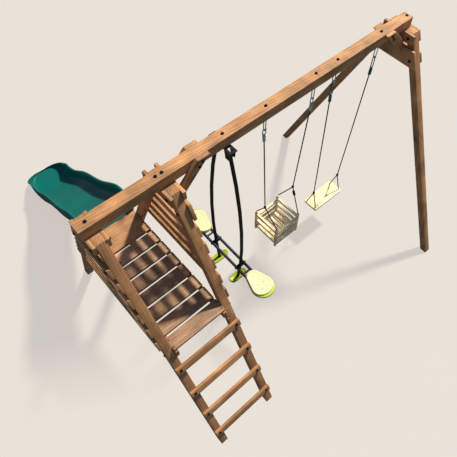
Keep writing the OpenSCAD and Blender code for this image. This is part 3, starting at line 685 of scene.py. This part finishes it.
class SWINGSET_OT_slide(bpy.types.Operator):
    """Builds the moulded slide with its rolled rims and rounded run-out"""

    bl_idname = "swingset.slide"
    bl_label = "Slide"

    def execute(self, context):
        look = context.scene.slide_look
        middle = (SLIDE_LOW.x + SLIDE_HIGH.x) / 2
        wall = look.wall
        rings = []
        count = look.stations
        for n in range(count + 1):
            t = n / count
            # closer stations where the corners of the run-out turn
            y = TOP_Y + (END_Y - TOP_Y) * (1 - (1 - t) ** 1.25)
            half = look.width / 2
            back = END_Y - y
            if back < look.corner:
                half -= look.corner * (1 - math.sqrt(max(0.0, 1 - (1 - back / look.corner) ** 2))) * 0.98
            rise = side_height(y, look.side)
            floor = bed_height(y, wall)
            rim = look.rim
            skirt = wall
            if y > BOARD_Y + SKIRT_Y:
                skirt = wall + min(SKIRT_DROP, SKIRT_SLOPE * (y - BOARD_Y - SKIRT_Y))
            cove = min(COVE, rise * 0.8)
            inner = half - wall
            right = [(0.0, 0.0), (inner * 0.55, 0.0), (inner - cove, 0.001)]
            for i in range(1, 6):
                a = QUARTER * i / 5
                right.append((inner - cove + cove * math.sin(a) * 0.93, cove * (1 - math.cos(a)) + 0.001))
            right.append((inner - 0.003, rise * 0.8))
            right.append((inner - 0.001, rise - 0.007))
            for i in range(5):
                a = math.pi * i / 4
                across = (wall + rim) / 2 * (1 - math.cos(a))
                right.append((inner + across, rise - 0.006 + 0.006 * math.sin(a)))
            right.append((half + rim, rise - 0.011))
            right.append((half + rim - 0.002, rise - 0.0135))
            right.append((half + rim * 0.4, rise - 0.0135))
            right.append((half + 0.0005, rise - 0.017))
            right.append((half, rise * 0.3))
            right.append((half, -skirt + 0.004))
            right.append((half - 0.004, -skirt))
            right.append((half - 0.010, -skirt))
            right.append((half - 0.012, -wall))
            right.append((inner * 0.5, -wall))
            right.append((0.0, -wall))
            ring = [(x, z) for x, z in right] + [(-x, z) for x, z in reversed(right[1:-1])]
            rings.append([Vector((middle + x, START.y + y, max(0.0005, floor + z))) for x, z in ring])
        points, faces = loft(rings)
        finish = skinned("green_slide", look.colour, 0.42, 420.0, 2.2, cloud=0.10, scuff=0.0, shine=0.14)
        piece("slide_shell", points, faces, finish, BODY_OF["slide"], "slide")
        return {"FINISHED"}


# --------------------------------------------------------------------------
# Hardware


class SWINGSET_OT_hardware(bpy.types.Operator):
    """Coats the bolts, screws, hangers, links and glider steel"""

    bl_idname = "swingset.hardware"
    bl_label = "Hardware"

    def execute(self, context):
        look = context.scene.metal_look
        black = skinned("black_coat", look.black, 0.36, 300.0, 9.0, strength=0.03, cloud=0.05, scuff=0.0,
                        shine=0.22)
        indigo = skinned("indigo_coat", look.indigo, 0.30, 1500.0, 9.0, cloud=0.2, scuff=0.15)
        green = skinned("green_coat", look.green, 0.34, 1500.0, 12.0, cloud=0.25, scuff=0.2)
        dull = zinc("zinc_flakes", look.zinc)
        for node in ("frame_bolts", "wood_screws", "glider_bracket", "glider_top_pins", "glider_rail_pins",
                     "box_toggle"):
            finish_node(node, black)
        for node in ("glider_arm_front", "glider_arm_back"):
            eased(node, look.ease, black)
        finish_node("glider_rails", indigo)
        finish_node("swing_hangers", zinc("zinc_black_nut", look.zinc, BEAM_HIGH.z))
        finish_node("box_links", dull)
        finish_node("plank_links", green)
        return {"FINISHED"}


# --------------------------------------------------------------------------
# Glider seats and footrests

# Width of the narrow end of a seat, and the drain holes: from the middle line, from the end, and apart
SEAT_NARROW = 0.160
DRAIN_X, DRAIN_Y, DRAIN_STEP = 0.030, 0.095, 0.055
# Radius and lift of the rings of a collar, from outside in
DRAIN_COLLAR = ((0.0095, -0.0006), (0.0090, 0.0012), (0.0078, 0.0016), (0.0068, 0.0006), (0.0064, -0.002))
# Radius of the hole in a footrest, and points round its outline
FOOT_HOLE = 0.0175
FOOT_POINTS = 64


def pear(inset, wide, narrow, reach, count=72):
    """Outline of a glider seat: wide end at zero, narrow end at reach."""
    r1, r2 = wide / 2 - inset, narrow / 2 - inset
    turn = math.acos((r1 - r2) / reach)
    outline = []
    for i in range(count // 2):
        a = turn + (2 * math.pi - 2 * turn) * i / (count // 2 - 1)
        outline.append((r1 * math.sin(a), r1 * math.cos(a)))
    for i in range(count // 2):
        a = -turn + 2 * turn * i / (count // 2 - 1)
        outline.append((r2 * math.sin(a), reach + r2 * math.cos(a)))
    return outline


class SWINGSET_OT_glider(bpy.types.Operator):
    """Builds the two glider seats with their lime trays, and the footrests"""

    bl_idname = "swingset.glider"
    bl_label = "Glider"

    def execute(self, context):
        look = context.scene.seat_look
        cream = skinned("cream_plastic", look.cream, 0.45, 800.0, 6.0, cloud=0.04, scuff=0.1)
        lime = skinned("lime_plastic", look.lime, 0.38, 800.0, 6.0, cloud=0.06, scuff=0.08, coat=0.15)
        for side, name in ((-1, "front"), (1, "back")):
            self.seat(side, name, look, cream, lime)
            self.footrest(name, lime)
        return {"FINISHED"}

    def seat(self, side, name, look, cream, lime):
        node = "glider_seat_" + name
        low, high = (Vector(v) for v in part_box(node))
        wide, narrow = high.x - low.x, SEAT_NARROW
        middle = (low.x + high.x) / 2
        far = low.y if side < 0 else high.y
        start = far - side * wide / 2
        reach = (high.y - low.y) - wide / 2 - narrow / 2

        def ring(inset, z, short=0.0):
            out = []
            for x, y in pear(inset, wide, narrow, reach):
                if y < 0:
                    y *= 1 - short / (wide / 2 - inset)
                out.append(Vector((middle + x, start - side * y, z)))
            return out

        body = BODY_OF[node]
        tray = [ring(0.034, low.z + 0.004), ring(0.018, low.z), ring(0.006, low.z + 0.002),
                ring(0.0, low.z + 0.008), ring(0.0, low.z + 0.018), ring(0.003, low.z + 0.022),
                ring(0.012, low.z + 0.0235), ring(0.03, low.z + 0.0225)]
        points, faces = loft(tray)
        piece(f"seat_tray_{name}", points, faces, lime, body, node)
        end = look.lime_end
        top = [ring(0.018, low.z + 0.0245, end), ring(0.009, low.z + 0.0245, end),
               ring(0.0065, low.z + 0.028, end), ring(0.0075, high.z - 0.006, end),
               ring(0.011, high.z - 0.0015, end), ring(0.017, high.z, end),
               ring(0.024, high.z - 0.0008, end), ring(0.036, high.z - look.dish * 0.7, end),
               ring(0.050, high.z - look.dish, end)]
        points, faces = loft(top)
        piece(f"seat_top_{name}", points, faces, cream, body, node)
        # drain holes with raised collars
        parts = []
        for x in (-1, 1):
            for back in (0, 1):
                across, back_y = middle + x * DRAIN_X, far - side * (DRAIN_Y + DRAIN_STEP * back)
                centre = Vector((across, back_y, high.z - look.dish))
                rings = []
                for radius, lift in DRAIN_COLLAR:
                    rings.append([centre + Vector((radius * math.cos(a), radius * math.sin(a), lift))
                                  for a in (2 * math.pi * i / 20 for i in range(20))])
                parts.append(loft(rings, caps=False))
        dark = skinned("drain_shadow", tuple(c * 0.45 for c in look.cream), 0.6)
        points, faces = join(*parts)
        piece(f"seat_drains_{name}", points, faces, dark, body, node)

    def footrest(self, name, lime):
        node = "footrest_" + name
        low, high = (Vector(v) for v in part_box(node))
        middle = (low + high) / 2
        half_x, half_y = (high.x - low.x) / 2, (high.y - low.y) / 2

        def oval(inset, z):
            out = []
            for i in range(FOOT_POINTS):
                a = 2 * math.pi * i / FOOT_POINTS
                c, s = math.cos(a), math.sin(a)
                x = (half_x - half_y) * math.tanh(c * 6.0) + (half_y - inset) * c
                y = (half_y - inset) * s
                out.append(Vector((middle.x + x, middle.y + y, z)))
            return out

        rings = [oval(0.020, low.z + 0.001), oval(0.006, low.z), oval(0.0, low.z + 0.006),
                oval(0.0, high.z - 0.006), oval(0.004, high.z), oval(0.009, high.z),
                oval(0.013, high.z - 0.007), oval(0.020, high.z - 0.009)]
        rings += [self.hole_ring(middle, high.z - 0.009), self.hole_ring(middle, low.z + 0.001)]
        points, faces = loft(rings, caps=False)
        # closes the underside, from the hole to the first outline
        last = (len(rings) - 1) * FOOT_POINTS
        for i in range(FOOT_POINTS):
            j = (i + 1) % FOOT_POINTS
            faces.append((last + i, last + j, j, i))
        piece(f"footrest_pad_{name}", points, faces, lime, BODY_OF[node], node)

    def hole_ring(self, middle, z):
        ring = []
        for i in range(FOOT_POINTS):
            a = 2 * math.pi * i / FOOT_POINTS
            ring.append(Vector((middle.x + FOOT_HOLE * math.cos(a), middle.y + FOOT_HOLE * math.sin(a), z)))
        return ring


# --------------------------------------------------------------------------
# Swing seats

# Layers of rails and spacers in the box, and the floor slats from one to the next
BOX_LAYERS = 8
SLAT_STEP = 0.063


class SWINGSET_OT_seats(bpy.types.Operator):
    """Eases the wood of the box seat and the plank seat and shows its grain"""

    bl_idname = "swingset.seats"
    bl_label = "Swing seats"

    def execute(self, context):
        look = context.scene.timber_look
        pine = (look.pine_light, look.pine_dark)
        low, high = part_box("box_long_rails")
        layers = (2, low[2], (high[2] - low[2]) / BOX_LAYERS)
        boards = (
            ("box_long_rails", ALONG_X, 3.1, layers),
            ("box_cross_rails", ALONG_Y, 5.7, layers),
            ("box_floor", ALONG_Y, 8.3, (0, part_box("box_floor")[0][0], SLAT_STEP)),
            ("box_spacers", ALONG_Z, 9.9, layers),
        )
        for node, turn, seed, lots in boards:
            finish = timber("pine_" + node, turn, seed, pine[0], pine[1], lots, 0.02)
            eased(node, look.seat_ease, finish)
        finish = timber("varnished_plank", ALONG_X, 12.4, look.plank_light, look.plank_dark, None, 0.06, 0.35)
        eased("plank_seat", look.seat_ease, finish)
        return {"FINISHED"}


# --------------------------------------------------------------------------
# Ropes

# Loops of the hangers: height, and distance from the middle of a seat
LOOP_Z, LOOP_HALF = 2.25, 0.267
# Posts of the box and holes of the plank, where the strands go down
POST_INSET = 0.013
HOLE_X, HOLE_Y = 0.197, 0.065
# Strands start to bend over the seat, and end in a knot under it
BEND_OVER, KNOT_UNDER, BEND_REACH = 0.008, 0.014, 0.012
# Thickness of the rope in the end knots, drawn tighter than the rest
END_KNOT = 0.86
# Each swing: half distance and height of the knots, and length of the link over the rope
BOX_HANG = (0.193, 1.086, 0.070)
PLANK_HANG = (0.195, 0.623, 0.130)


class SWINGSET_OT_ropes(bpy.types.Operator):
    """Lays the ropes of both swings with their knots and stoppers"""

    bl_idname = "swingset.ropes"
    bl_label = "Ropes"

    def execute(self, context):
        look = context.scene.rope_look
        dark = fibre("dark_rope", look.dark)
        green = fibre("green_rope", look.green)
        low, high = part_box("box_long_rails")
        post = (high[0] - low[0]) / 2 - POST_INSET
        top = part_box("box_spacers")[1][2]
        self.hang("box", (low[0] + high[0]) / 2, BOX_HANG, (post, post), top, low[2], dark, "dark_rope", look)
        low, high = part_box("plank_seat")
        self.hang("plank", (low[0] + high[0]) / 2, PLANK_HANG, (HOLE_X, HOLE_Y), high[2], low[2], green,
                  "green_rope", look)
        return {"FINISHED"}

    def hang(self, name, middle, sizes, corners, top, low, finish, slot, look):
        """Both ropes of a swing: from the link to a knot, then two strands through the seat."""
        node = name + "_ropes"
        knot_half, knot_z, link = sizes
        middle -= START.x
        start_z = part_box(node)[1][2]
        for side, word in ((-1, "left"), (1, "right")):
            knot = place(middle + side * knot_half, 0.0, knot_z)
            upper = place(middle + side * LOOP_HALF, 0.0, LOOP_Z - link)
            way = (knot - upper).normalized()
            upper = upper + way * ((upper.z - start_z) / -way.z)
            parts = [rope_mesh([upper, knot], look.diameter, look.lay)]
            parts.append(wrapped_knot(knot + Vector((0, 0, 0.004)), way, look.diameter, look.lay, 3))
            for hand in (-1, 1):
                across, along = middle + side * corners[0], hand * corners[1]
                corner = place(across, along, top + BEND_OVER)
                foot = place(across, along, low - KNOT_UNDER)
                path = round_corners([knot, corner, foot], BEND_REACH)
                parts.append(rope_mesh(path, look.diameter, look.lay))
                end = foot + Vector((0, 0, 0.001))
                parts.append(wrapped_knot(end, Vector((0, 0, 1)), look.diameter * END_KNOT, look.lay, 2))
            points, faces = join(*parts)
            piece(f"{name}_rope_{word}", points, faces, finish, BODY_OF[node], node)


# --------------------------------------------------------------------------
# Stage

FLOOR_REACH = 40.0
SUN_WAY = (-1.91, -0.33, -2.45)
SUN_TINT = (1.0, 0.94, 0.80)
SKY_TINT = (0.58, 0.86, 1.20, 1.0)
CAMERA_SPOT = (-0.24489, -1.84856, 5.03717)
CAMERA_TURN = (31.3807, -0.89505, -41.73982)
CAMERA_SHIFT = (-0.046747, 0.002258)
# The shadows fade out along the floor, over a slanted strip in front of the tower and past its side
FADE_SLANT, FADE_OUT, FADE_FULL = 0.6, -0.60, 0.35


class SWINGSET_OT_stage(bpy.types.Operator):
    """Sets the floor, the light and the camera"""

    bl_idname = "swingset.stage"
    bl_label = "Stage"

    def execute(self, context):
        look = context.scene.stage_look
        scene = context.scene
        mesh = bpy.data.meshes.new("floor")
        corners = ((-1, -1), (1, -1), (1, 1), (-1, 1))
        mesh.from_pydata([(x * FLOOR_REACH, y * FLOOR_REACH, 0) for x, y in corners], [], [(0, 1, 2, 3)])
        floor = bpy.data.objects.new("floor", mesh)
        scene.collection.objects.link(floor)
        made, net, shader, where = material("pale_floor")
        cloud = net.noise(where, 1.3, 2.0, 0.5)
        tone = net.mix(net.span(cloud, 0.3, 0.7), tuple(c * 0.995 for c in look.floor), look.floor)
        # the fill is full where the floor is looked at, and weak where it lights the set
        seen = net.add("ShaderNodeLightPath").outputs["Is Camera Ray"]
        spot = net.add("ShaderNodeSeparateXYZ", {0: where}).outputs
        along = net.math("ADD", spot[1], net.math("MULTIPLY", spot[0], FADE_SLANT))
        edge = START.y + START.x * FADE_SLANT
        kept = net.span(along, edge + FADE_OUT, edge + FADE_FULL)
        kept = net.math("SUBTRACT", 1.0, net.math("MULTIPLY", seen, net.math("SUBTRACT", 1.0, kept)))
        net.tree.links.new(net.mix(kept, (0.0, 0.0, 0.0), tone), shader.inputs["Base Color"])
        net.tree.links.new(net.mix(kept, look.lit, look.glow), shader.inputs["Emission Color"])
        net.tree.links.new(net.span(seen, 0.0, 1.0, look.bounce, 1.0), shader.inputs["Emission Strength"])
        shader.inputs["Roughness"].default_value = 0.95
        shader.inputs["Specular IOR Level"].default_value = 0.1
        mesh.materials.append(made)

        sun = bpy.data.objects.new("sun", bpy.data.lights.new("sun", "SUN"))
        sun.data.energy = look.sun
        sun.data.angle = math.radians(look.soft)
        sun.data.color = SUN_TINT
        sun.rotation_euler = Vector(SUN_WAY).to_track_quat("-Z", "Y").to_euler()
        scene.collection.objects.link(sun)
        world = bpy.data.worlds.new("sky")
        world.use_nodes = True
        sky = world.node_tree.nodes["Background"]
        sky.inputs["Color"].default_value = SKY_TINT
        sky.inputs["Strength"].default_value = look.sky
        scene.world = world
        scene.view_settings.view_transform = "Standard"

        camera = bpy.data.objects.new("camera", bpy.data.cameras.new("camera"))
        camera.location = place(*CAMERA_SPOT)
        camera.rotation_euler = Euler([math.radians(turn) for turn in CAMERA_TURN])
        camera.data.lens = look.lens
        camera.data.shift_x, camera.data.shift_y = CAMERA_SHIFT
        camera.data.clip_end = 100.0
        scene.collection.objects.link(camera)
        scene.camera = camera
        return {"FINISHED"}


# --------------------------------------------------------------------------
# Panel


OPERATORS = (
    SWINGSET_OT_stage,
    SWINGSET_OT_timber,
    SWINGSET_OT_slide,
    SWINGSET_OT_hardware,
    SWINGSET_OT_glider,
    SWINGSET_OT_seats,
    SWINGSET_OT_ropes,
)


class SWINGSET_PT_panel(bpy.types.Panel):
    """Lists the steps and their settings"""

    bl_idname = "SWINGSET_PT_panel"
    bl_label = "Swing set"
    bl_space_type = "VIEW_3D"
    bl_region_type = "UI"
    bl_category = "Swing set"

    def draw(self, context):
        for operator in OPERATORS:
            self.layout.operator(operator.bl_idname)
        for key, group in SETTINGS.items():
            box = self.layout.box()
            box.label(text=group.__name__)
            for field in group.__annotations__:
                box.prop(getattr(context.scene, key), field)


CLASSES = (*SETTINGS.values(), *OPERATORS, SWINGSET_PT_panel)


def register():
    for cls in CLASSES:
        bpy.utils.register_class(cls)
    for key, group in SETTINGS.items():
        setattr(bpy.types.Scene, key, PointerProperty(type=group))


def unregister():
    for key in SETTINGS:
        delattr(bpy.types.Scene, key)
    for cls in reversed(CLASSES):
        bpy.utils.unregister_class(cls)


def main():
    register()
    for operator in OPERATORS:
        family, name = operator.bl_idname.split(".")
        getattr(getattr(bpy.ops, family), name)()


if __name__ == "__main__":
    main()
